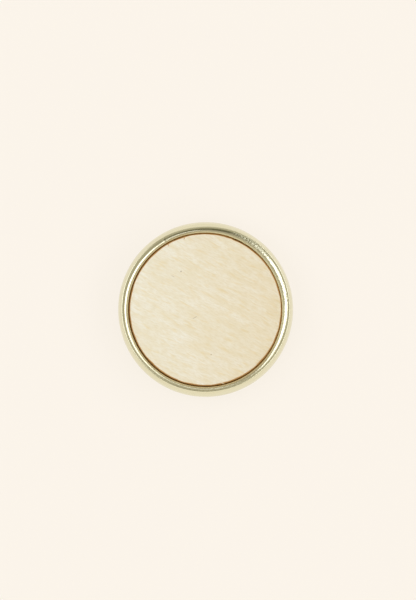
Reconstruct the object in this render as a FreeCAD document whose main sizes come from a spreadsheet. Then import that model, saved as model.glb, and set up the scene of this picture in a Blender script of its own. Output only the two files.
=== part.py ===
"""Double-sided dealer button: a polished metal rim with a birch plywood inlay glued into each face.

The rim is a turned ring with a rounded lip on both faces and an internal flange. A steel slug sits in the
flange for heft. A die-cut adhesive film covers each side of the flange and slug, and a laser-cut three-ply
birch disc is stuck to each film. Millimetres, +Z up, origin at the centre of the underside.
"""

import FreeCAD
import Part
import Sketcher
import math
import os

# alias: (value, what it is)
DIMENSIONS = {
    "button_diameter": (50.8, "across the rim at mid-height, the nominal 2 inch size"),
    "button_height": (10.0, "from land to land"),
    "recess_diameter": (44.3, "wall that each inlay drops into"),
    "lip_run": (1.61, "from the recess wall out to the crest"),
    "lip_radius": (1.73, "rounding of the lip between crest and recess"),
    "land_width": (0.15, "flat on the crest that the button rests on"),
    "corner_radius": (0.3, "rounding between the land and the bowed flank"),
    "relief_radius": (0.25, "half-round undercut in the corner of the recess"),
    "flange_bore": (36.1, "hole in the flange that holds the slug"),
    "slug_diameter": (36.0, "steel disc"),
    "slug_chamfer": (0.25, "broken edges of the slug"),
    "film_diameter": (43.0, "adhesive disc"),
    "film_thickness": (0.13, "adhesive disc"),
    "inlay_diameter": (44.14, "laser-cut plywood disc"),
    "face_veneer": (0.8, "outer and inner ply thickness"),
    "core_veneer": (1.4, "middle ply thickness"),
    "face_depth": (1.15, "wood face below the crest"),
    "edge_round": (0.15, "charred rounding of the wood's visible edge"),
    "nick_depth": (0.22, "notch where the laser starts and ends its cut"),
    "nick_width": (1.3, "length of that notch along the edge"),
    "seat_offset": (0.06, "how far each inlay sits off centre in its clearance"),
    "upper_seat": (226.0, "direction of that offset on top, degrees"),
    "lower_seat": (75.0, "direction of that offset underneath, degrees"),
    "upper_nick": (68.0, "direction of the notch on top, degrees"),
    "lower_nick": (200.0, "direction of the notch underneath, degrees"),
}

FLAT = 1e-6     # an edge this close to level, or a height this close to another, counts as level or equal

# Derived lengths, as expressions on the sheet.
INLAY = "(2 * Sheet.face_veneer + Sheet.core_veneer)"
FLANGE_HALF = f"(Sheet.button_height / 2 - Sheet.face_depth - {INLAY} - Sheet.film_thickness)"


def value(alias):
    return DIMENSIONS[alias][0]


def add_sheet(doc):
    """The spreadsheet of driving dimensions: a name, a number and a note on each row."""
    sheet = doc.addObject("Spreadsheet::Sheet", "Sheet")
    for row, (alias, (number, note)) in enumerate(DIMENSIONS.items(), start=1):
        sheet.set(f"A{row}", alias)
        sheet.set(f"B{row}", str(number))
        sheet.set(f"C{row}", note)
        sheet.setAlias(f"B{row}", alias)
    doc.recompute()


def add_body(doc, label):
    body = doc.addObject("PartDesign::Body", label)
    body.Label = label
    return body


def origin_feature(body, role):
    """One of the body's own origin planes or axes."""
    return next(f for f in body.Origin.OriginFeatures if f.Role == role)


def add_sketch(body, name, plane):
    """A sketch on one of the body's own origin planes."""
    sketch = body.newObject("Sketcher::SketchObject", name)
    sketch.AttachmentSupport = (origin_feature(body, plane), [""])
    sketch.MapMode = "FlatFace"
    return sketch


def bind(sketch, dimensions):
    """Adds each dimension as a named constraint that follows the sheet."""
    for name, (constraint, expression) in dimensions.items():
        index = sketch.addConstraint(constraint)
        sketch.renameConstraint(index, name)
        sketch.setExpression(f"Constraints.{name}", expression)


def add_circle(body, name, plane, expression, radius):
    """A sketch with one circle about the origin, its radius following the sheet."""
    sketch = add_sketch(body, name, plane)
    normal = FreeCAD.Vector(0, 0, 1)
    sketch.addGeometry(Part.Circle(FreeCAD.Vector(0, 0, 0), normal, radius))
    sketch.addConstraint(Sketcher.Constraint("Coincident", 0, 3, -1, 1))
    bind(sketch, {"radius": (Sketcher.Constraint("Radius", 0, radius), expression)})
    return sketch


def arc(centre, radius, start, end):
    """A counter-clockwise arc in a sketch; angles in degrees."""
    middle = FreeCAD.Vector(centre[0], centre[1], 0)
    circle = Part.Circle(middle, FreeCAD.Vector(0, 0, 1), radius)
    return Part.ArcOfCircle(circle, math.radians(start), math.radians(end))


def line(a, b):
    return Part.LineSegment(FreeCAD.Vector(*a, 0), FreeCAD.Vector(*b, 0))


def draw_rim_half(sketch):
    """The rim's section above its mid-plane.

    Going round from the mid-plane: bowed flank, corner, land, rounded lip, recess wall, an undercut that lets
    the inlay seat fully, recess floor and flange bore. The arcs' first angles are rough; the constraints set
    them right.
    """
    half = value("button_height") / 2
    outer = value("button_diameter") / 2
    bore = value("flange_bore") / 2
    recess = value("recess_diameter") / 2
    crest = recess + value("lip_run")
    shoulder = crest + value("land_width")
    ply = 2 * value("face_veneer") + value("core_veneer")
    floor = half - value("face_depth") - ply - value("film_thickness")
    lip = value("lip_radius")
    corner = value("corner_radius")
    relief = value("relief_radius")
    rough_bow = 2 * half
    rough_turn = 25
    sketch.addGeometry([
        line((bore, 0), (outer, 0)),                                  # 0 mid-plane
        arc((outer - rough_bow, 0), rough_bow, 0, rough_turn),        # 1 flank
        arc((shoulder, half - corner), corner, rough_turn, 90),       # 2 corner
        line((shoulder, half), (crest, half)),                        # 3 land
        arc((crest, half - lip), lip, 90, 180 - rough_turn),          # 4 lip
        line((recess, half - lip / 2), (recess, floor + relief)),     # 5 recess wall
        arc((recess, floor), relief, 180, 450),                       # 6 undercut
        line((recess - relief, floor), (bore, floor)),                # 7 recess floor
        line((bore, floor), (bore, 0)),                               # 8 flange bore
    ])
    joins = [(0, 2, 1, 1), (4, 2, 5, 1), (5, 2, 6, 2), (6, 1, 7, 1), (7, 2, 8, 1), (8, 2, 0, 1)]
    smooth = [(1, 2, 2, 1), (2, 2, 3, 1), (3, 2, 4, 1)]
    on_line = [(0, 1, -1), (1, 3, -1), (6, 3, 5), (6, 3, 7)]
    sketch.addConstraint([Sketcher.Constraint("Coincident", *join) for join in joins])
    sketch.addConstraint([Sketcher.Constraint("Tangent", *join) for join in smooth])
    sketch.addConstraint([Sketcher.Constraint("PointOnObject", *point) for point in on_line])
    sketch.addConstraint([Sketcher.Constraint("Horizontal", n) for n in (0, 3, 7)])
    sketch.addConstraint([Sketcher.Constraint("Vertical", n) for n in (5, 8)])
    across = {
        "bore_radius": (8, 2, bore, "Sheet.flange_bore / 2"),
        "outer_radius": (0, 2, outer, "Sheet.button_diameter / 2"),
        "recess_radius": (5, 2, recess, "Sheet.recess_diameter / 2"),
        "crest_radius": (3, 2, crest, "Sheet.recess_diameter / 2 + Sheet.lip_run"),
    }
    up = {
        "land_height": (3, 2, half, "Sheet.button_height / 2"),
        "floor_height": (7, 2, floor, FLANGE_HALF),
    }
    radii = {
        "lip": (4, lip, "Sheet.lip_radius"),
        "corner": (2, corner, "Sheet.corner_radius"),
        "undercut": (6, relief, "Sheet.relief_radius"),
    }
    dimensions = {}
    for name, (edge, point, size, rule) in across.items():
        dimensions[name] = (Sketcher.Constraint("DistanceX", -1, 1, edge, point, size), rule)
    for name, (edge, point, size, rule) in up.items():
        dimensions[name] = (Sketcher.Constraint("DistanceY", -1, 1, edge, point, size), rule)
    for name, (edge, size, rule) in radii.items():
        dimensions[name] = (Sketcher.Constraint("Radius", edge, size), rule)
    land = Sketcher.Constraint("DistanceX", 3, 2, 3, 1, value("land_width"))
    dimensions["land"] = (land, "Sheet.land_width")
    bind(sketch, dimensions)


def add_rim_ring(doc):
    """The ring: its upper half turned in one go, and mirrored downwards."""
    body = add_body(doc, "rim_ring")
    section = add_sketch(body, "rim_section", "XZ_Plane")
    draw_rim_half(section)
    turned = body.newObject("PartDesign::Revolution", "upper_half")
    turned.Profile = section
    turned.ReferenceAxis = (origin_feature(body, "Z_Axis"), [""])
    turned.Angle = 360
    doc.recompute()
    mirrored = body.newObject("PartDesign::Mirrored", "both_halves")
    mirrored.Originals = [turned]
    mirrored.MirrorPlane = (origin_feature(body, "XY_Plane"), [""])
    body.Tip = mirrored
    body.setExpression("Placement.Base.z", "Sheet.button_height / 2")


def add_core_slug(doc):
    """The steel disc that fills the flange, as thick as the flange, with both edges broken."""
    body = add_body(doc, "core_slug")
    radius = value("slug_diameter") / 2
    outline = add_circle(body, "slug_outline", "XY_Plane", "Sheet.slug_diameter / 2", radius)
    pad = body.newObject("PartDesign::Pad", "slug_disc")
    pad.Profile = outline
    pad.SideType = "Symmetric"
    pad.setExpression("Length", f"2 * {FLANGE_HALF}")
    doc.recompute()
    rims = [f"Edge{n}" for n, e in enumerate(pad.Shape.Edges, start=1) if e.Curve.TypeId == "Part::GeomCircle"]
    chamfer = body.newObject("PartDesign::Chamfer", "slug_edges")
    chamfer.Base = (pad, rims)
    chamfer.setExpression("Size", "Sheet.slug_chamfer")
    body.Tip = chamfer
    body.setExpression("Placement.Base.z", "Sheet.button_height / 2")


def place_in_stack(piece, side, depth):
    """Puts a piece of one inlay stack where it belongs.

    Each piece is drawn with its outward face at z = 0 and its thickness below. depth is the expression for
    how far that face lies below the crest. The lower stack is the upper one turned over.
    """
    up = side == "upper"
    spin = FreeCAD.Rotation(FreeCAD.Vector(0, 0, 1), value(f"{side}_nick"))
    turn = FreeCAD.Rotation() if up else FreeCAD.Rotation(FreeCAD.Vector(1, 0, 0), 180)
    piece.Placement = FreeCAD.Placement(FreeCAD.Vector(0, 0, 0), spin.multiply(turn))
    level = f"Sheet.button_height - {depth}" if up else depth
    piece.setExpression("Placement.Base.z", level)


def seat_off_centre(piece, side):
    """Slides a plywood piece against one side of its clearance, as it was glued."""
    for axis, wave in (("x", "cos"), ("y", "sin")):
        rule = f"Sheet.seat_offset * {wave}(Sheet.{side}_seat * 1 deg)"
        piece.setExpression(f"Placement.Base.{axis}", rule)


def add_glue_film(doc, side):
    film = doc.addObject("Part::Cylinder", f"{side}_glue_film")
    film.Label = f"{side}_glue_film"
    film.setExpression("Radius", "Sheet.film_diameter / 2")
    film.setExpression("Height", "Sheet.film_thickness")
    depth = f"(Sheet.face_depth + {INLAY})"
    from_above = f"Sheet.button_height - {depth} - Sheet.film_thickness"
    film.setExpression("Placement.Base.z", from_above if side == "upper" else depth)


def draw_nick(sketch):
    """The notch: a shallow triangle that opens past the edge of the disc."""
    radius = value("inlay_diameter") / 2
    tip = radius - value("nick_depth")
    half = value("nick_width") / 2
    corners = [(tip, 0), (radius, half), (radius, -half)]
    for n in range(3):
        sketch.addGeometry(line(corners[n], corners[(n + 1) % 3]))
    joins = [(0, 2, 1, 1), (1, 2, 2, 1), (2, 2, 0, 1)]
    sketch.addConstraint([Sketcher.Constraint("Coincident", *join) for join in joins])
    sketch.addConstraint(Sketcher.Constraint("PointOnObject", 0, 1, -1))
    sketch.addConstraint(Sketcher.Constraint("Symmetric", 0, 2, 1, 2, -1))
    bind(sketch, {
        "tip": (
            Sketcher.Constraint("DistanceX", -1, 1, 0, 1, tip),
            "Sheet.inlay_diameter / 2 - Sheet.nick_depth",
        ),
        "mouth": (
            Sketcher.Constraint("DistanceX", -1, 1, 0, 2, radius),
            "Sheet.inlay_diameter / 2",
        ),
        "width": (
            Sketcher.Constraint("DistanceY", 1, 2, 1, 1, 2 * half),
            "Sheet.nick_width",
        ),
    })


def add_veneer(doc, side, ply, thickness, depth):
    """One ply of an inlay: a disc with the laser's nick, and on the face ply a rounded visible edge."""
    body = add_body(doc, f"{side}_{ply}_veneer")
    radius = value("inlay_diameter") / 2
    outline = add_circle(body, f"{side}_{ply}_outline", "XY_Plane", "Sheet.inlay_diameter / 2", radius)
    pad = body.newObject("PartDesign::Pad", f"{side}_{ply}_disc")
    pad.Profile = outline
    pad.Reversed = True
    pad.setExpression("Length", f"Sheet.{thickness}")
    doc.recompute()
    if ply == "face":
        boxes = [edge.BoundBox for edge in pad.Shape.Edges]
        level = [box.ZLength < FLAT and abs(box.ZMax) < FLAT for box in boxes]
        top = [f"Edge{n}" for n, is_top in enumerate(level, start=1) if is_top]
        rounded = body.newObject("PartDesign::Fillet", f"{side}_charred_edge")
        rounded.Base = (pad, top)
        rounded.setExpression("Radius", "Sheet.edge_round")
        doc.recompute()
    before = body.Shape.Volume
    nick = add_sketch(body, f"{side}_{ply}_nick", "XY_Plane")
    draw_nick(nick)
    cut = body.newObject("PartDesign::Pocket", f"{side}_{ply}_nick_cut")
    cut.Profile = nick
    cut.Type = "ThroughAll"
    doc.recompute()
    if body.Shape.Volume >= before:
        raise ValueError(f"the nick in {body.Label} cut nothing")
    place_in_stack(body, side, depth)
    seat_off_centre(body, side)


def build(doc):
    add_sheet(doc)
    add_rim_ring(doc)
    add_core_slug(doc)
    for side in ("upper", "lower"):
        add_glue_film(doc, side)
        under_face = "(Sheet.face_depth + Sheet.face_veneer)"
        add_veneer(doc, side, "face", "face_veneer", "Sheet.face_depth")
        add_veneer(doc, side, "core", "core_veneer", under_face)
        add_veneer(doc, side, "back", "face_veneer", f"({under_face} + Sheet.core_veneer)")
    doc.recompute()


def sub_parts(doc):
    """The objects that are sub-parts: every body, and the films."""
    return [o for o in doc.Objects if o.TypeId in ("PartDesign::Body", "Part::Cylinder")]


def check(doc):
    """Stops on any failed object, sketch that isn't fully constrained, or bad shape."""
    for o in doc.Objects:
        if "Invalid" in o.State or "Error" in o.State:
            raise ValueError(f"{o.Label} failed: {o.State}")
        if o.TypeId == "Sketcher::SketchObject" and not o.FullyConstrained:
            raise ValueError(f"sketch {o.Label} is loose")
    for o in sub_parts(doc):
        if o.Shape.isNull() or not o.Shape.isValid() or o.Shape.Volume <= 0:
            raise ValueError(f"{o.Label} has a bad shape")


def export(doc):
    os.makedirs("parts", exist_ok=True)
    for o in sub_parts(doc):
        o.Shape.exportStep(f"parts/{o.Label}.step")
        box = o.Shape.optimalBoundingBox(False, False)
        print(f"{o.Label}: {o.Shape.Volume:.1f} mm3, z {box.ZMin:.3f} to {box.ZMax:.3f}")


document = FreeCAD.newDocument("dealer_button")
build(document)
check(document)
export(document)
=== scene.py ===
"""The looks of the dealer button: a polished pale gold rim round two birch faces with burnt edges.

Lengths are millimetres, except the lights', and MM turns them into the scene's metres. Angles are degrees,
and a direction is counted from +X towards +Y as the upper face is looked down on.
"""

import math

import bpy
import numpy as np
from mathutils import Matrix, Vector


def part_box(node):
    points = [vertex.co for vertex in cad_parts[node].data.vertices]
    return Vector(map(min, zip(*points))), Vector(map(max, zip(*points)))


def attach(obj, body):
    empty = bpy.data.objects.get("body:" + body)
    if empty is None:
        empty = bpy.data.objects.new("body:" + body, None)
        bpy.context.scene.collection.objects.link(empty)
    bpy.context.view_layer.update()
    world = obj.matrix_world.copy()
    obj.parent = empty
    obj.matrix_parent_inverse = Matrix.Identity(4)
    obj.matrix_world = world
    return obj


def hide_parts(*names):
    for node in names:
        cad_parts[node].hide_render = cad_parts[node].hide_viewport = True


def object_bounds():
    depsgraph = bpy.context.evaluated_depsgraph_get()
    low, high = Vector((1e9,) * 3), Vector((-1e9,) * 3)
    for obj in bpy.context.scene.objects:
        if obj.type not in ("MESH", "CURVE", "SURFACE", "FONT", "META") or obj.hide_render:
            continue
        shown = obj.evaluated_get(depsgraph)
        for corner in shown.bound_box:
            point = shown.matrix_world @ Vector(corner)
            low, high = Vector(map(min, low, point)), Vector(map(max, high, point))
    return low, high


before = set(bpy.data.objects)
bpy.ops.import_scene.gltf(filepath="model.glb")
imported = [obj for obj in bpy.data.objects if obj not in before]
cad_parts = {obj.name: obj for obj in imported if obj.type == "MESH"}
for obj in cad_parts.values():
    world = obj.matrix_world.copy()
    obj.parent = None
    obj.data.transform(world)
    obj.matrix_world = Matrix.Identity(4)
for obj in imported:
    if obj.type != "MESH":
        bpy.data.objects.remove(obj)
cad_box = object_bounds()

MM = 0.001
TURN = 2 * math.pi
SAME_POINT = 1e-6           # points closer than this are one point

# The rim's section, as it was turned.
CREST_INSET = 1.64          # crest of the lip, in from the widest part of the rim
RECESS_INSET = 3.25         # recess wall, in from the widest part of the rim
LAND_WIDTH = 0.15           # the flat on the crest, where it is widest
LIP_RADIUS = 1.73
CORNER_RADIUS = 0.3
UNDERCUT_RADIUS = 0.25
FLANGE_BORE_RADIUS = 18.05

# How far the finished rim is from a true turning. A drift is a distance, and the direction it is towards.
CREST_DRIFT = (0.3, 80)
CREST_OVAL = (0.2, 8)       # the crest is a slight oval: how much, and the direction of its long axis
CREST_WEAR = (              # worn stretches: how far out the crest moved, where, and the half-width
    (-0.3, 92, 26),
    (0.15, 280, 60),
)
LAND_WIDEST_AT = 112
LAND_MEAN = 0.56            # the land's mean width, as a share of the widest
LAND_VARIES = 0.44          # how far it varies either way, as a share of the widest
UPPER_RECESS_DRIFT = (0.12, 215)
LOWER_RECESS_DRIFT = (0.07, 75)

# The unevenness that polishing left on the rim.
POLISH_DEPTH = 0.014        # how far the polished surface lies under the turned one, on average
SLOW_DEPTH = 0.0035
SLOW_WAVES = ((3, 5, 8, 13), 0.6, 11)   # waves round the rim, how much they lean, and their seed
SWELL_DEPTH = 0.0018
SWELL_WAVES = ((31, 43, 58, 71, 89), 0.9, 12)
SWELL_GONE_AT = 23.9        # the swell fades towards this radius, over this much, to this share
SWELL_FADE = 0.6
SWELL_LEAST = 0.15
POLISH_START = 0.02         # the polish starts this far out from the recess wall
KNOCK_REACH = 0.6           # how far a knock spreads from its face
KNOCKS = (                  # direction, depth, half-width, and whether it is on the upper face
    (121, 0.03, 0.28, True),
    (22, 0.02, 0.35, True),
    (215, 0.03, 0.3, False),
)

# How finely the rim is built: columns round it, and points along each run of its section.
RIM_SEGMENTS = 800
LAND_POINTS = 3
CORNER_POINTS = 8
FLANK_POINTS = 17
BORE_POINTS = 2
FLOOR_POINTS = 3
UNDERCUT_POINTS = 7
WALL_POINTS = 3
LIP_POINTS = 26

# The wood's visible edge.
WOOD_SEGMENTS = 720
EDGE_ROUND = 0.15
EDGE_TURNS = (25, 50, 75, 90)           # steps over the rounded edge
EDGE_TRIM = 0.02            # wood that the burn took all round, and how unevenly
EDGE_RAGGED = 0.007
RAGGED_WAVES = (47, 71, 113, 167, 251)
NICK_STEP = 0.16            # the step where the laser's cut met itself
NICK_SHARP_RUN = 0.7        # how soon it fades on each side
NICK_LONG_RUN = 16.0
NICK_LONG_CURVE = 1.5
CHAR_REACH = 0.38           # how far the burn runs in over the face
CHAR_UNEVEN = 0.18          # how much that varies in these waves
CHAR_WAVES = (4, 7, 12, 19, 31)
CHAR_WIDEST = (0.15, 222)   # how much wider the burn is on one side, and how far past the nick that is
CHAR_CURVE = 0.8
CHAR_OVER_ROUND = 0.6       # share of the rounded edge that counts as face
TICKS = ((37.5, 0.45), (51, 0.35))      # short scorched lines: how far past the nick, and how dark
TICK_WIDTH = 0.14
TICK_MIDDLE = 0.45          # in from the edge
TICK_LENGTH = 0.35
TICK_LEAN = 0.7             # how far a tick slants along the edge for each millimetre in
SPLINTER_PAST_NICK = 215
SPLINTER_ALONG = (0.5, 0.32)            # its middle, along the edge, and its half-width
SPLINTER_IN = (0.3, 0.45)   # its middle, in from the edge, and its half-length
SPLINTER_LEAN = 1.6
SPLINTER_LIFT = 0.04

# The rows of the wood's mesh.
HUB_RADIUS = 0.4            # the innermost row, from the middle of the face
BROAD_ROWS = 16             # rows from there to the fine band
FINE_BAND = 1.6             # how far in from the edge the mesh is fine
FINE_ROWS = 14
FINEST_ROW = 0.02           # the narrowest row, next to the rounded edge
SIDE_ROWS = (0.35, 0.7, 1)  # rows down the cut side, as shares of it
BACK_ROW = 0.5              # the one row on the hidden back, as a share of the radius

# Small marks on each face: place, half-length and half-width, lean, strength.
UPPER_MARKS = (
    ((-3.1, -2.3), (1.0, 0.13), 32, 0.5),
    ((-7.1, 11.0), (0.3, 0.24), 0, 0.7),
    ((1.6, -13.0), (0.26, 0.22), 0, 0.6),
    ((-9.4, 9.6), (0.7, 0.16), -25, 0.35),
)
LOWER_MARKS = (
    ((5.2, 8.4), (1.6, 0.12), 70, 0.4),
    ((-6.0, -11.5), (0.3, 0.25), 0, 0.6),
)

# Each face: which way it looks, the laser's nick, the seed of its burn, and the grain's direction and place.
FACES = {
    "upper": {"side": 1, "nick": 68, "seed": 21, "grain": -27, "offset": 0.0, "marks": UPPER_MARKS},
    "lower": {"side": -1, "nick": 200, "seed": 22, "grain": 15, "offset": 40.0, "marks": LOWER_MARKS},
}

# The metal's finish: where it shows, by radius, and how deep each mark is.
INNER_SLOPE = (22.7, 23.2)  # the steep inner part of the lip fades out between these
LIP_TOP = (24.0, 24.4)      # and the whole lip between these
STREAK_RADIUS = 24          # where noise round the ring has its stated rate along the ring
STREAK_HEIGHT = 0.0024
WANDER_HEIGHT = 0.0100
CHATTER_HEIGHT = 0.0008
CHATTER_MARKS = 283         # round the ring
SCUFF_HEIGHT = 0.0600
SLOPE_SCUFFS = 0.45         # how scuffed the inner slope is all round
SCUFFED = (                 # scuffed stretches: direction, whole within, gone beyond, how much
    (54, 8, 20, 1.4),
    (17, 5, 18, 0.8),
    (278, 25, 50, 0.6),
)
DULLED = (218, 10, 35)      # direction, whole within, gone beyond
SMOKE_RADIUS = 22.4         # the laser's smoke stained the metal to a little beyond here
SMOKE_WANDER = 0.8          # how unevenly its outer edge runs
SMOKE_FADE = (-0.4, 0.3)    # from whole to gone, across that edge
SMOKIEST_AT = 215           # only the side opposite this is clean
SMOKE_SPREAD = (-0.85, -0.1)            # it comes in between these cosines of the angle from there
SMOKE_SHARE = 0.42
STREAK_ROUGHNESS = (0.13, 0.2)
SCUFFED_ROUGHER = 0.12
DULLED_ROUGHER = 0.10
PALE_GOLD = (232, 229, 201)             # these colours, down to the films', are as displayed, 0 to 255
DEEP_GOLD = (227, 223, 190)
SMOKE_STAIN = (172, 142, 88)

# The wood's finish, and the light painted on it.
FIBRE_HEIGHT = 0.012
PORE_DEPTH = 0.02
BIRCH_ROUGHNESS = (0.50, 0.62)
SILVER_BIRCH = (235, 229, 212)
CREAM_BIRCH = (229, 218, 190)
BROAD_TINT = (226, 215, 186)
STREAK_TINT = (226, 207, 160)
FIBRE_TINT = (219, 205, 168)
PORE_TINT = (190, 168, 130)
MARK_TINT = (150, 124, 92)
TOASTED = (190, 150, 96)
CHARRED = (152, 106, 42)
PAINTED_LIT_SIDE = (1.03, 1.06, 1.11)          # painted light: the face is lighter and cooler on its left and darker and warmer on its right, as factors
PAINTED_SHADED_SIDE = (0.97, 0.94, 0.89)
PAINTED_LIGHT_REACH = 22.0           # the painted light changes from this far left of the middle to this far right

# The hidden pieces' finish.
SOOT_HEIGHT = 0.03
ROLLED_HEIGHT = 0.004
BUBBLE_HEIGHT = 0.01
PLY_PALE = (214, 190, 142)
PLY_DARK = (188, 158, 106)
SOOT_DARK = (92, 60, 30)
SOOT_PALE = (140, 98, 52)
PLY_BURN = (20.8, 21.6)     # the plies are browned between these radii
ZINC_DARK = (176, 180, 184)
ZINC_PALE = (202, 204, 206)
FILM_DARK = (226, 222, 208)
FILM_PALE = (240, 238, 230)

# What the camera takes in.
VIEW_HEIGHT = 174.2         # top to bottom of the picture, at the rim's widest
CAMERA_HEIGHT = 600.0
SENSOR_WIDTH = 36
CAMERA_ASIDE = (0.69, 2.76)             # the button sits a little left of and below the middle

# The table: its glow keeps it plain, and a shadow is painted into the glow only where the rim overhangs it.
TABLE_HALF = 4000
TABLE_CREAM = (250, 243, 233)
TABLE_GLOW = 0.86
TABLE_DIFFUSE = 0.14
SHADOW_GLOW = 0.22
SHADOW_INSET = 1.8          # the painted shadow is whole this far inside the widest part of the rim
SHADOW_SPREAD = 0.4         # and gone this far outside it

# The lights, in metres: name, centre, size, lean in degrees, radiance. All face straight down.
LAMP_COLOUR = (0.96, 1.0, 1.1)
SOFTBOXES = (
    ("right_softbox", (0.95, -0.1, 0.8), (0.85, 2.2), 0, 1.9),
    ("left_softbox", (-0.878, 0.122, 0.8), (1.45, 0.62), -43, 1.8),
    ("back_left_softbox", (-0.556, 0.430, 0.8), (0.6, 0.27), -43, 1.35),
    ("near_softbox", (0.3, -0.75, 0.8), (0.5, 0.3), 22, 0.9),
    ("far_softbox", (0.1, 0.85, 0.8), (0.8, 0.5), 0, 0.65),
)
SOFT_FILL = ("soft_fill", (0.0, 0.0, 1.5), (2.0, 2.0), 0, 0.35)

# The room, in linear colour: by height, from the horizon at 0 to overhead at 1, and a dim patch up there.
ROOM_COLOURS = (
    (0.0, (0.92, 0.88, 0.78)),
    (0.25, (0.52, 0.48, 0.40)),
    (0.7, (0.42, 0.385, 0.31)),
    (1.0, (0.51, 0.47, 0.38)),
)
PATCH_COLOUR = (0.13, 0.12, 0.075)
PATCH_TILT = 26             # the middle of the patch, down from overhead
PATCH_FACING = 262
PATCH_EDGE = 22             # the patch is gone this far from its middle
PATCH_CORE = 6              # and whole within this


# ---------------------------------------------------------------- mesh helpers

def mesh_object(name, points, faces):
    """A smooth-shaded mesh object from points in millimetres."""
    mesh = bpy.data.meshes.new(name)
    mesh.from_pydata([tuple(p) for p in np.asarray(points) * MM], [], faces)
    mesh.validate()
    mesh.shade_smooth()
    piece = bpy.data.objects.new(name, mesh)
    bpy.context.scene.collection.objects.link(piece)
    return piece


def arc_points(centre, radius, start, end, count):
    """Points on an arc, from start to end degrees, ends included."""
    angles = np.radians(np.linspace(start, end, count))
    return np.column_stack((centre[0] + radius * np.cos(angles), centre[1] + radius * np.sin(angles)))


def run_points(start, end, count):
    """Evenly spaced points on a straight run, ends included."""
    return np.linspace(start, end, count)


def join_runs(*runs):
    """One outline from several runs, without the points where they meet twice."""
    points = np.vstack(runs)
    steps = np.linalg.norm(np.diff(points, axis=0), axis=1)
    return points[np.insert(steps > SAME_POINT, 0, True)]


def outline_normals(outline):
    """Unit normals of a closed outline of (radius, height) points, on the outside of a clockwise walk."""
    along = np.roll(outline, -1, axis=0) - np.roll(outline, 1, axis=0)
    normals = np.column_stack((-along[:, 1], along[:, 0]))
    return normals / np.linalg.norm(normals, axis=1)[:, None]


def ring_faces(rows, columns, closed_rows):
    """Quads that join rows of points, each row a closed loop of columns points."""
    last = rows if closed_rows else rows - 1
    faces = []
    for row in range(last):
        below = row * columns
        above = ((row + 1) % rows) * columns
        for column in range(columns):
            beside = (column + 1) % columns
            faces.append((below + column, below + beside, above + beside, above + column))
    return faces


def waves(angle, other, counts, lean, seed):
    """A seamless random ripple round the circle: a sum of whole waves, of height about 1."""
    random = np.random.default_rng(seed)
    total = np.zeros(np.broadcast(angle, other).shape)
    for count in counts:
        phase = random.uniform(0, TURN)
        slope = random.uniform(-lean, lean)
        total += np.sin(count * angle + slope * other + phase)
    return total / math.sqrt(len(counts))


def bell(distance, width):
    """1 at distance 0, falling smoothly to nothing at a few widths."""
    return np.exp(-((distance / width) ** 2))


def angle_apart(angle, degrees):
    """Signed angle from a direction, in radians, between -pi and pi."""
    return (angle - math.radians(degrees) + math.pi) % TURN - math.pi


def drift(angle, distance, degrees):
    """How much further out a circle lies at each angle, once its centre has moved a little that way."""
    return distance * np.cos(angle - math.radians(degrees))


# ---------------------------------------------------------------- the rim

def half_section(outer, top, floor, crest_shift, recess_shift, land_width):
    """The ring's section above its middle, as (radius, height) points: its outside down, its inside up."""
    middle = top / 2
    crest = outer - CREST_INSET + crest_shift
    shoulder = crest + land_width
    recess = outer - RECESS_INSET + recess_shift
    run = crest - recess
    true_run = RECESS_INSET - CREST_INSET
    true_drop = LIP_RADIUS - math.sqrt(LIP_RADIUS**2 - true_run**2)
    drop = min(true_drop, run)
    lip_radius = (run**2 + drop**2) / (2 * drop)
    corner = (shoulder, top - CORNER_RADIUS)
    step_out = outer - shoulder
    rise = corner[1] - middle
    bow_radius = (step_out**2 + rise**2 - CORNER_RADIUS**2) / (2 * (step_out - CORNER_RADIUS))
    bow = (outer - bow_radius, middle)
    corner_end = math.degrees(math.atan2(corner[1] - bow[1], corner[0] - bow[0]))
    lip = (crest, top - lip_radius)
    lip_end = 180 - math.degrees(math.atan2(lip_radius - drop, run))
    outside = join_runs(
        run_points((crest, top), (shoulder, top), LAND_POINTS),
        arc_points(corner, CORNER_RADIUS, 90, corner_end, CORNER_POINTS),
        arc_points(bow, bow_radius, corner_end, 0, FLANK_POINTS),
    )
    inside = join_runs(
        run_points((FLANGE_BORE_RADIUS, middle), (FLANGE_BORE_RADIUS, floor), BORE_POINTS),
        run_points((FLANGE_BORE_RADIUS, floor), (recess - UNDERCUT_RADIUS, floor), FLOOR_POINTS),
        arc_points((recess, floor), UNDERCUT_RADIUS, 180, 450, UNDERCUT_POINTS),
        run_points((recess, floor + UNDERCUT_RADIUS), (recess, top - drop), WALL_POINTS),
        arc_points(lip, lip_radius, lip_end, 90, LIP_POINTS),
    )
    return outside, inside


def rim_outline(outer, top, floor, crest_shift, upper_recess, lower_recess, land_width):
    """The closed section of the ring, clockwise from the crest of the upper lip: (radius, height) points."""
    upper_outside, upper_inside = half_section(outer, top, floor, crest_shift, upper_recess, land_width)
    lower_half = half_section(outer, top, floor, crest_shift, lower_recess, land_width)
    lower_outside, lower_inside = ((points * (1, -1) + (0, top))[::-1] for points in lower_half)
    return join_runs(upper_outside, lower_outside, lower_inside, upper_inside)[:-1]


def rim_relief(angle, radius, height, top):
    """How far the polished surface falls below the true turned shape, in millimetres."""
    across = radius - height
    slow = waves(angle, across, *SLOW_WAVES)
    swell = waves(angle, across, *SWELL_WAVES)
    inside = np.clip((SWELL_GONE_AT - radius) / SWELL_FADE, SWELL_LEAST, 1)
    worked = SLOW_DEPTH * slow + SWELL_DEPTH * inside * swell
    relief = np.maximum(POLISH_DEPTH + worked, 0)
    for direction, depth, half_width, is_upper in KNOCKS:
        level = top if is_upper else 0
        near_face = bell(height - level, KNOCK_REACH)
        relief = relief + depth * bell(angle_apart(angle, direction) * radius, half_width) * near_face
    return relief


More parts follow.
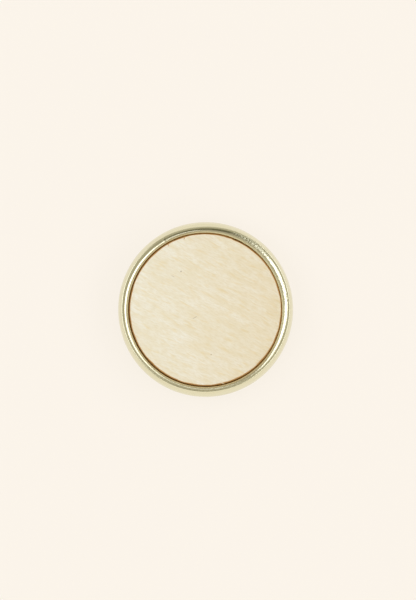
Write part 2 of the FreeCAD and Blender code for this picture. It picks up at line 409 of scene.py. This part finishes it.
def build_rim():
    """The rim as a dense ring, with the faint unevenness that polishing leaves."""
    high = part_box("rim_ring")[1]
    outer = high.x / MM
    top = high.z / MM
    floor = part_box("core_slug")[1].z / MM
    angle = np.linspace(0, TURN, RIM_SEGMENTS, endpoint=False)
    crest_shift = drift(angle, *CREST_DRIFT) + drift(2 * angle, CREST_OVAL[0], 2 * CREST_OVAL[1])
    for distance, direction, spread in CREST_WEAR:
        crest_shift += distance * bell(angle_apart(angle, direction), math.radians(spread))
    upper_recess = drift(angle, *UPPER_RECESS_DRIFT)
    lower_recess = drift(angle, *LOWER_RECESS_DRIFT)
    land_width = LAND_WIDTH * (LAND_MEAN + LAND_VARIES * np.cos(angle_apart(angle, LAND_WIDEST_AT)))
    shifts = zip(crest_shift, upper_recess, lower_recess, land_width)
    outlines = [rim_outline(outer, top, floor, *shift) for shift in shifts]
    normals = np.stack([outline_normals(outline) for outline in outlines], axis=1)
    radius, height = np.moveaxis(np.stack(outlines, axis=1), 2, 0)
    recess_shift = np.where(height > top / 2, upper_recess, lower_recess)
    is_polished = radius > outer - RECESS_INSET + recess_shift + POLISH_START
    depth = rim_relief(angle, radius, height, top) * is_polished
    worn_radius = radius - depth * normals[:, :, 0]
    worn_height = height - depth * normals[:, :, 1]
    points = np.stack((worn_radius * np.cos(angle), worn_radius * np.sin(angle), worn_height), axis=2)
    faces = [face[::-1] for face in ring_faces(len(radius), RIM_SEGMENTS, closed_rows=True)]
    rim = mesh_object("rim_polished", points.reshape(-1, 3), faces)
    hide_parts("rim_ring")
    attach(rim, "root")
    return rim


# ---------------------------------------------------------------- the wood faces

def edge_loss(angle, radius, nick, seed):
    """How far the edge lies inside a true circle, in millimetres: the ragged burn and the nick's step."""
    ragged = waves(angle, 0 * angle, RAGGED_WAVES, 0, seed)
    past_nick = angle_apart(angle, nick) * radius
    sharp_side = np.clip(1 - past_nick / NICK_SHARP_RUN, 0, 1) * (past_nick >= 0)
    long_side = np.clip(1 + past_nick / NICK_LONG_RUN, 0, 1) ** NICK_LONG_CURVE * (past_nick < 0)
    return EDGE_TRIM + EDGE_RAGGED * ragged + NICK_STEP * np.maximum(sharp_side, long_side)


def char_amount(angle, inset, radius, nick, seed):
    """How burnt the face is, from 0 to 1, at a distance in from its edge."""
    uneven = 1 + CHAR_UNEVEN * waves(angle, 0 * angle, CHAR_WAVES, 0, seed)
    widening, widest_at = CHAR_WIDEST
    smoked = 1 + widening * np.cos(angle_apart(angle, nick + widest_at))
    burn = np.clip(1 - inset / (CHAR_REACH * uneven * smoked), 0, 1) ** CHAR_CURVE
    ticks = 0 * burn
    for past_nick, strength in TICKS:
        along = angle_apart(angle, nick + past_nick) * radius - TICK_LEAN * inset
        tick = strength * bell(along, TICK_WIDTH) * bell(inset - TICK_MIDDLE, TICK_LENGTH)
        ticks = np.maximum(ticks, tick)
    return np.clip(np.maximum(burn, ticks), 0, 1)


def splinter_amount(angle, inset, radius, nick):
    """Where a sliver of the face has lifted and broken through the burn, leaning across the edge."""
    along = angle_apart(angle, nick + SPLINTER_PAST_NICK) * radius + SPLINTER_LEAN * inset
    middle_along, half_width = SPLINTER_ALONG
    middle_in, half_length = SPLINTER_IN
    return bell(along - middle_along, half_width) * bell(inset - middle_in, half_length)


def build_wood_face(name, node, side, nick, seed):
    """A face ply with its rounded, charred edge. side is 1 for the upper face and -1 for the lower."""
    low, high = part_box(node)
    centre = (low + high) / 2 / MM
    radius = (high.x - low.x) / 2 / MM
    outward = (high.z if side > 0 else low.z) / MM
    inward = (low.z if side > 0 else high.z) / MM
    angle = np.linspace(0, TURN, WOOD_SEGMENTS, endpoint=False)
    edge = radius - edge_loss(angle, radius, nick, seed)
    flat_end = radius - EDGE_ROUND
    insets = np.concatenate((
        np.linspace(flat_end - HUB_RADIUS, FINE_BAND, BROAD_ROWS),
        np.geomspace(FINE_BAND, FINEST_ROW, FINE_ROWS)[1:],
        [0],
    ))
    rows = []
    chars = []
    for inset in insets:
        splinter = splinter_amount(angle, inset + EDGE_ROUND, radius, nick)
        char_inset = inset + EDGE_ROUND * CHAR_OVER_ROUND
        rows.append((edge - EDGE_ROUND - inset, outward + side * SPLINTER_LIFT * splinter))
        chars.append(char_amount(angle, char_inset, radius, nick, seed) * (1 - splinter))
    for turn in np.radians(EDGE_TURNS):
        drop = EDGE_ROUND * (1 - math.cos(turn))
        inset = EDGE_ROUND * (1 - math.sin(turn))
        rows.append((edge - inset, outward - side * drop + 0 * angle))
        chars.append(1 - splinter_amount(angle, inset, radius, nick))
    start = outward - side * EDGE_ROUND
    for share in SIDE_ROWS:
        rows.append((edge, start + share * (inward - start) + 0 * angle))
        chars.append(np.ones_like(angle))
    rows.append((edge * BACK_ROW, inward + 0 * angle))
    chars.append(0 * angle)
    loops = [np.column_stack((r * np.cos(angle), r * np.sin(angle), z)) for r, z in rows]
    points = np.vstack(loops + [[(0, 0, outward)], [(0, 0, inward)]])
    points[:, :2] += np.array((centre.x, centre.y))
    faces = ring_faces(len(loops), WOOD_SEGMENTS, closed_rows=False)
    hub = len(points) - 2
    back_hub = len(points) - 1
    back_start = (len(loops) - 1) * WOOD_SEGMENTS
    for n in range(WOOD_SEGMENTS):
        beside = (n + 1) % WOOD_SEGMENTS
        faces.append((hub, beside, n))
        faces.append((back_hub, back_start + n, back_start + beside))
    if side > 0:
        faces = [face[::-1] for face in faces]
    piece = mesh_object(name, points, faces)
    char = piece.data.attributes.new("char", "FLOAT", "POINT")
    char.data.foreach_set("value", np.concatenate(chars + [[0, 0]]).astype(np.float32))
    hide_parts(node)
    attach(piece, "root")
    return piece


# ---------------------------------------------------------------- node helpers

class Shader:
    """A node material under construction. Its methods add a node and return the output that matters."""

    def __init__(self, name):
        self.material = bpy.data.materials.new(name)
        self.material.use_nodes = True
        self.tree = self.material.node_tree
        self.surface = self.tree.nodes["Principled BSDF"]

    def add(self, kind, settings=None, **inputs):
        """Adds a node. An input that is a socket is linked, and any other value is set."""
        node = self.tree.nodes.new("ShaderNode" + kind)
        for key, value in (settings or {}).items():
            setattr(node, key, value)
        for key, value in inputs.items():
            self.feed(node.inputs[key.replace("_", " ")], value)
        return node

    def feed(self, socket, value):
        """Links a socket to an output, or sets it."""
        if isinstance(value, bpy.types.NodeSocket):
            self.tree.links.new(value, socket)
        else:
            socket.default_value = value

    def math(self, operation, *values):
        """Any operation of the Math node."""
        node = self.tree.nodes.new("ShaderNodeMath")
        node.operation = operation
        for socket, value in zip(node.inputs, values):
            self.feed(socket, value)
        return node.outputs[0]

    def times(self, first, second):
        """first * second"""
        return self.math("MULTIPLY", first, second)

    def plus_times(self, base, value, factor):
        """base + value * factor"""
        return self.math("MULTIPLY_ADD", value, factor, base)

    def length(self, x, y):
        """How far (x, y) is from the middle."""
        return self.math("SQRT", self.math("ADD", self.times(x, x), self.times(y, y)))

    def vector(self, x, y, z):
        """A vector from its parts."""
        return self.add("CombineXYZ", X=x, Y=y, Z=z).outputs[0]

    def millimetres(self):
        """The place on the object in millimetres, as separate x, y and z."""
        place = self.add("TexCoord").outputs["Object"]
        scaled = self.add("VectorMath", {"operation": "SCALE"}, Vector=place, Scale=1 / MM)
        split = self.add("SeparateXYZ", Vector=scaled.outputs[0])
        return split.outputs[0], split.outputs[1], split.outputs[2]

    def noise(self, vector, detail=2.0, roughness=0.5, extra=0.0):
        """Four-dimensional noise from 0 to 1, with its frequency already in the vector."""
        node = self.add(
            "TexNoise", {"noise_dimensions": "4D"},
            Vector=vector, W=extra, Scale=1.0, Detail=detail, Roughness=roughness,
        )
        return node.outputs["Fac"]

    def stretched_noise(self, place, rates, detail):
        """Noise with its own number of waves per millimetre along x, y and z."""
        scaled = [self.times(part, rate) for part, rate in zip(place, rates)]
        return self.noise(self.vector(*scaled), detail)

    def turned(self, x, y, degrees):
        """The same place along and across a direction, as two outputs."""
        lean = math.radians(degrees)
        along = self.math("ADD", self.times(x, math.cos(lean)), self.times(y, math.sin(lean)))
        across = self.math("SUBTRACT", self.times(y, math.cos(lean)), self.times(x, math.sin(lean)))
        return along, across

    def mark(self, x, y, place, half_size, turn, strength):
        """A small soft-edged mark: strength at its middle, 0 outside its half-length and half-width."""
        east = self.math("SUBTRACT", x, place[0])
        north = self.math("SUBTRACT", y, place[1])
        along, across = self.turned(east, north, turn)
        along_share = self.math("DIVIDE", along, half_size[0])
        across_share = self.math("DIVIDE", across, half_size[1])
        return self.ramp(self.length(along_share, across_share), 0.4, 1.0, strength, 0.0)

    def ramp(self, value, low, high, to_low=0.0, to_high=1.0, smooth=True):
        """Maps low..high to to_low..to_high, clamped."""
        node = self.add(
            "MapRange", {"interpolation_type": "SMOOTHSTEP" if smooth else "LINEAR", "clamp": True},
        )
        for socket, number in zip(node.inputs, (value, low, high, to_low, to_high)):
            self.feed(socket, number)
        return node.outputs[0]

    def mix(self, share, first, second, blend="MIX"):
        """A colour mix. Colours are (r, g, b) or sockets."""
        node = self.add("Mix", {"data_type": "RGBA", "blend_type": blend})
        self.feed(node.inputs[0], share)
        for socket, colour in ((node.inputs[6], first), (node.inputs[7], second)):
            self.feed(socket, colour if isinstance(colour, bpy.types.NodeSocket) else (*colour, 1))
        return node.outputs[2]

    def finish(self, colour, roughness, height=None, **constants):
        """Feeds the surface. height is in millimetres and becomes a bump."""
        self.feed(self.surface.inputs["Base Color"], colour)
        self.feed(self.surface.inputs["Roughness"], roughness)
        for key, value in constants.items():
            self.surface.inputs[key.replace("_", " ")].default_value = value
        if height is not None:
            bump = self.add("Bump", Strength=1.0, Distance=MM, Height=height)
            self.feed(self.surface.inputs["Normal"], bump.outputs[0])
        return self.material


def srgb(red, green, blue):
    """A linear colour from a 0-255 display colour."""
    def channel(value):
        part = value / 255
        return part / 12.92 if part <= 0.04045 else ((part + 0.055) / 1.055) ** 2.4
    return channel(red), channel(green), channel(blue)


# ---------------------------------------------------------------- materials

def champagne_metal():
    """Pale gold plate, polished round the ring: fine streaks, chatter on the lip's inner slope, and scuffs.

    The laser's smoke has stained it a little, next to the wood.
    """
    s = Shader("champagne_metal")
    x, y, z = s.millimetres()
    radius = s.length(x, y)
    east = s.math("DIVIDE", x, radius)
    north = s.math("DIVIDE", y, radius)
    angle = s.math("ARCTAN2", y, x)

    def round_the_ring(along, across, detail, seed):
        """Noise stretched round the ring: waves per millimetre along it and across it."""
        reach = STREAK_RADIUS * along
        place = s.vector(s.times(east, reach), s.times(north, reach), s.plus_times(seed, radius, across))
        return s.noise(place, detail, 0.6, s.times(z, across))

    def facing(degrees):
        """1 in a direction, falling to -1 opposite it."""
        return s.math("COSINE", s.math("SUBTRACT", angle, math.radians(degrees)))

    def near(degrees, inner, outer):
        """1 within the inner angle of a direction, falling to 0 at the outer one."""
        return s.ramp(facing(degrees), math.cos(math.radians(outer)), math.cos(math.radians(inner)))

    streaks = round_the_ring(0.10, 6.0, 3.0, 0.0)
    wander = round_the_ring(0.5, 1.2, 2.0, 5.0)
    scuffs = round_the_ring(1.6, 2.6, 2.0, 11.0)
    inner_slope = s.ramp(radius, *INNER_SLOPE, 1.0, 0.0)
    lip = s.ramp(radius, *LIP_TOP, 1.0, 0.1)
    phase = s.plus_times(s.times(angle, CHATTER_MARKS), wander, 6.0)
    chatter = s.times(s.math("SINE", phase), inner_slope)
    rubbed = s.times(inner_slope, SLOPE_SCUFFS)
    for degrees, inner, outer, amount in SCUFFED:
        rubbed = s.math("MAXIMUM", rubbed, s.times(near(degrees, inner, outer), amount))
    rubbed = s.times(rubbed, lip)
    height = s.times(streaks, STREAK_HEIGHT)
    height = s.plus_times(height, s.times(wander, lip), WANDER_HEIGHT)
    height = s.plus_times(height, chatter, CHATTER_HEIGHT)
    height = s.plus_times(height, s.times(scuffs, rubbed), SCUFF_HEIGHT)
    roughness = s.ramp(streaks, 0.35, 0.7, *STREAK_ROUGHNESS)
    roughness = s.plus_times(roughness, s.times(s.ramp(scuffs, 0.4, 0.7), rubbed), SCUFFED_ROUGHER)
    roughness = s.plus_times(roughness, s.times(near(*DULLED), lip), DULLED_ROUGHER)
    colour = s.mix(s.ramp(streaks, 0.35, 0.65), srgb(*PALE_GOLD), srgb(*DEEP_GOLD))
    smoke_side = s.ramp(facing(SMOKIEST_AT), *SMOKE_SPREAD, 0.0, SMOKE_SHARE)
    past_smoke = s.math("SUBTRACT", radius, s.plus_times(SMOKE_RADIUS, scuffs, SMOKE_WANDER))
    smoke = s.times(s.ramp(past_smoke, *SMOKE_FADE, 1.0, 0.0), smoke_side)
    colour = s.mix(smoke, colour, srgb(*SMOKE_STAIN))
    return s.finish(colour, roughness, height, Metallic=1.0)


def birch_face(name, grain, offset, marks):
    """Bare sanded birch: silvery and tan figure along the grain, fine fibres, small marks and a burnt edge,
    with painted light that makes the face lighter on its left.

    Each mark is where it is, its half-length and half-width, its lean and how much it shows.
    """
    s = Shader(name)
    x, y = s.millimetres()[:2]
    along, across = s.turned(x, y, grain)

    def figure(along_rate, across_rate, detail, seed, roughness=0.5):
        """Noise stretched along the grain: waves per millimetre along it and across it."""
        place = s.vector(s.times(along, along_rate), s.times(across, across_rate), offset + seed)
        return s.noise(place, detail, roughness)

    broad = figure(0.05, 0.11, 2.0, 1.0)
    patches = figure(0.15, 0.60, 2.0, 7.0)
    streaks = figure(0.26, 1.35, 2.0, 13.0)
    fibres = figure(0.7, 3.1, 3.0, 19.0, 0.65)
    pores = figure(0.9, 4.5, 2.0, 23.0)
    colour = s.mix(s.ramp(patches, 0.34, 0.68), srgb(*SILVER_BIRCH), srgb(*CREAM_BIRCH))
    layers = (              # a pattern, where it starts and is whole, how much it shows, its colour
        (broad, 0.35, 0.65, 0.35, BROAD_TINT),
        (streaks, 0.50, 0.74, 0.75, STREAK_TINT),
        (fibres, 0.38, 0.70, 0.60, FIBRE_TINT),
        (pores, 0.72, 0.80, 0.35, PORE_TINT),
    )
    for pattern, start, whole, share, tint in layers:
        colour = s.mix(s.ramp(pattern, start, whole, 0.0, share), colour, srgb(*tint))
    for mark in marks:
        colour = s.mix(s.mark(x, y, *mark), colour, srgb(*MARK_TINT))
    # Painted light: lighter and cooler to the left, darker and warmer to the right, as if lit from the left.
    painted_lit_to_shaded = s.ramp(x, -PAINTED_LIGHT_REACH, PAINTED_LIGHT_REACH, smooth=False)
    colour = s.mix(1.0, colour, s.mix(painted_lit_to_shaded, PAINTED_LIT_SIDE, PAINTED_SHADED_SIDE), "MULTIPLY")
    char = s.add("Attribute", {"attribute_name": "char"}).outputs["Fac"]
    colour = s.mix(s.ramp(char, 0.0, 0.35), colour, srgb(*TOASTED))
    colour = s.mix(s.ramp(char, 0.25, 0.85), colour, srgb(*CHARRED))
    height = s.times(fibres, FIBRE_HEIGHT)
    height = s.plus_times(height, s.ramp(pores, 0.68, 0.8), -PORE_DEPTH)
    roughness = s.ramp(patches, 0.4, 0.7, *BIRCH_ROUGHNESS)
    return s.finish(colour, roughness, height, Specular_IOR_Level=0.3)


def charred_ply():
    """The hidden plies: birch that the laser has browned all round its edge, darker in its resin lines."""
    s = Shader("charred_ply")
    place = s.millimetres()
    grain = s.stretched_noise(place, (0.3, 3.0, 1.0), 4.0)
    soot = s.stretched_noise(place, (1.0, 1.0, 6.0), 3.0)
    wood = s.mix(grain, srgb(*PLY_PALE), srgb(*PLY_DARK))
    burnt = s.mix(soot, srgb(*SOOT_DARK), srgb(*SOOT_PALE))
    colour = s.mix(s.ramp(s.length(place[0], place[1]), *PLY_BURN), wood, burnt)
    return s.finish(colour, s.ramp(soot, 0.3, 0.7, 0.7, 0.9), s.times(soot, SOOT_HEIGHT))


def zinc_steel():
    """The slug: bright zinc on steel, with a faint rolled grain."""
    s = Shader("zinc_steel")
    place = s.millimetres()
    rolled = s.stretched_noise(place, (0.4, 9.0, 1.0), 4.0)
    bloom = s.stretched_noise(place, (0.5, 0.5, 1.0), 3.0)
    colour = s.mix(bloom, srgb(*ZINC_DARK), srgb(*ZINC_PALE))
    roughness = s.ramp(rolled, 0.3, 0.7, 0.25, 0.42)
    return s.finish(colour, roughness, s.times(rolled, ROLLED_HEIGHT), Metallic=1.0)


def glue_film():
    """Double-sided film: milky, with trapped bubbles."""
    s = Shader("glue_film")
    bubbles = s.stretched_noise(s.millimetres(), (1.5, 1.5, 1.0), 2.0)
    colour = s.mix(s.ramp(bubbles, 0.55, 0.75), srgb(*FILM_DARK), srgb(*FILM_PALE))
    return s.finish(colour, s.ramp(bubbles, 0.4, 0.7, 0.35, 0.6), s.times(bubbles, BUBBLE_HEIGHT))


def pale_table(outer):
    """The surface the button lies on: plain and evenly lit, with a shadow painted into its glow where the
    rim overhangs it.
    """
    s = Shader("pale_table")
    x, y = s.millimetres()[:2]
    cream = srgb(*TABLE_CREAM)
    # Painted shadow: the glow is dimmed under the rim's overhang and a little beyond it.
    glow = s.ramp(s.length(x, y), outer - SHADOW_INSET, outer + SHADOW_SPREAD, SHADOW_GLOW, TABLE_GLOW)
    s.surface.inputs["Emission Color"].default_value = (*cream, 1)
    s.feed(s.surface.inputs["Emission Strength"], glow)
    return s.finish((*(TABLE_DIFFUSE * part for part in cream), 1), 0.9, Specular_IOR_Level=0.1)


def dress(piece, material):
    """Gives a piece, or a carried-over node, one material all over."""
    piece.data.materials.clear()
    piece.data.materials.append(material)


# ---------------------------------------------------------------- stage

def add_table():
    """A large plain square under the button."""
    half = TABLE_HALF
    corners = [(-half, -half, 0), (half, -half, 0), (half, half, 0), (-half, half, 0)]
    table = mesh_object("table", corners, [(0, 1, 2, 3)])
    dress(table, pale_table(cad_box[1][0] / MM))


def add_softbox(name, centre, size, lean, radiance):
    """A level panel of light that faces straight down: centre and size in metres, turned by lean degrees."""
    light = bpy.data.lights.new(name, "AREA")
    light.shape = "RECTANGLE"
    light.size, light.size_y = size
    light.energy = radiance * math.pi * size[0] * size[1]
    light.color = LAMP_COLOUR
    lamp = bpy.data.objects.new(name, light)
    lamp.location = centre
    lamp.rotation_euler.z = math.radians(lean)
    bpy.context.scene.collection.objects.link(lamp)
    return lamp


def add_lights():
    """The softboxes that show in the rim, and a fill that only lights the wood."""
    for softbox in SOFTBOXES:
        add_softbox(*softbox)
    fill = add_softbox(*SOFT_FILL)
    fill.visible_glossy = False


def add_room():
    """The rest of the room, which the rim mirrors: palest at the horizon, and dimmest nearly overhead."""
    world = bpy.data.worlds.new("room")
    world.use_nodes = True
    bpy.context.scene.world = world
    tree = world.node_tree
    place = tree.nodes.new("ShaderNodeTexCoord").outputs["Generated"]
    split = tree.nodes.new("ShaderNodeSeparateXYZ")
    ramp = tree.nodes.new("ShaderNodeValToRGB")
    tree.links.new(place, split.inputs[0])
    tree.links.new(split.outputs["Z"], ramp.inputs[0])
    stops = ramp.color_ramp.elements
    stops.remove(stops[1])
    for n, (position, colour) in enumerate(ROOM_COLOURS):
        stop = stops[0] if n == 0 else stops.new(position)
        stop.position = position
        stop.color = (*colour, 1)
    tilt = math.radians(PATCH_TILT)
    facing = math.radians(PATCH_FACING)
    towards = tree.nodes.new("ShaderNodeVectorMath")
    towards.operation = "DOT_PRODUCT"
    tree.links.new(place, towards.inputs[0])
    towards.inputs[1].default_value = (
        math.sin(tilt) * math.cos(facing), math.sin(tilt) * math.sin(facing), math.cos(tilt),
    )
    dimming = tree.nodes.new("ShaderNodeMapRange")
    dimming.interpolation_type = "SMOOTHSTEP"
    tree.links.new(towards.outputs["Value"], dimming.inputs["Value"])
    dimming.inputs["From Min"].default_value = math.cos(math.radians(PATCH_EDGE))
    dimming.inputs["From Max"].default_value = math.cos(math.radians(PATCH_CORE))
    mixed = tree.nodes.new("ShaderNodeMix")
    mixed.data_type = "RGBA"
    tree.links.new(dimming.outputs[0], mixed.inputs[0])
    tree.links.new(ramp.outputs[0], mixed.inputs[6])
    mixed.inputs[7].default_value = (*PATCH_COLOUR, 1)
    tree.links.new(mixed.outputs[2], tree.nodes["Background"].inputs["Color"])


def add_camera():
    """Straight above, far enough off that the view is nearly flat."""
    middle = (cad_box[1][2] + cad_box[0][2]) / 2
    data = bpy.data.cameras.new("camera")
    data.sensor_width = SENSOR_WIDTH
    data.lens = SENSOR_WIDTH * CAMERA_HEIGHT / VIEW_HEIGHT
    camera = bpy.data.objects.new("camera", data)
    camera.location = (CAMERA_ASIDE[0] * MM, CAMERA_ASIDE[1] * MM, middle + CAMERA_HEIGHT * MM)
    bpy.context.scene.collection.objects.link(camera)
    bpy.context.scene.camera = camera
    bpy.context.scene.view_settings.view_transform = "Standard"


# ---------------------------------------------------------------- assembly

def main():
    """Builds and dresses every piece, and then the table, the lights, the room and the camera."""
    dress(build_rim(), champagne_metal())
    for name, face in FACES.items():
        node = f"{name}_face_veneer"
        piece = build_wood_face(f"{name}_birch_face", node, face["side"], face["nick"], face["seed"])
        dress(piece, birch_face(f"birch_{name}", face["grain"], face["offset"], face["marks"]))
    ply = charred_ply()
    film = glue_film()
    for name in FACES:
        dress(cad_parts[f"{name}_core_veneer"], ply)
        dress(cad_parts[f"{name}_back_veneer"], ply)
        dress(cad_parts[f"{name}_glue_film"], film)
    dress(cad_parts["core_slug"], zinc_steel())
    add_table()
    add_lights()
    add_room()
    add_camera()


main()
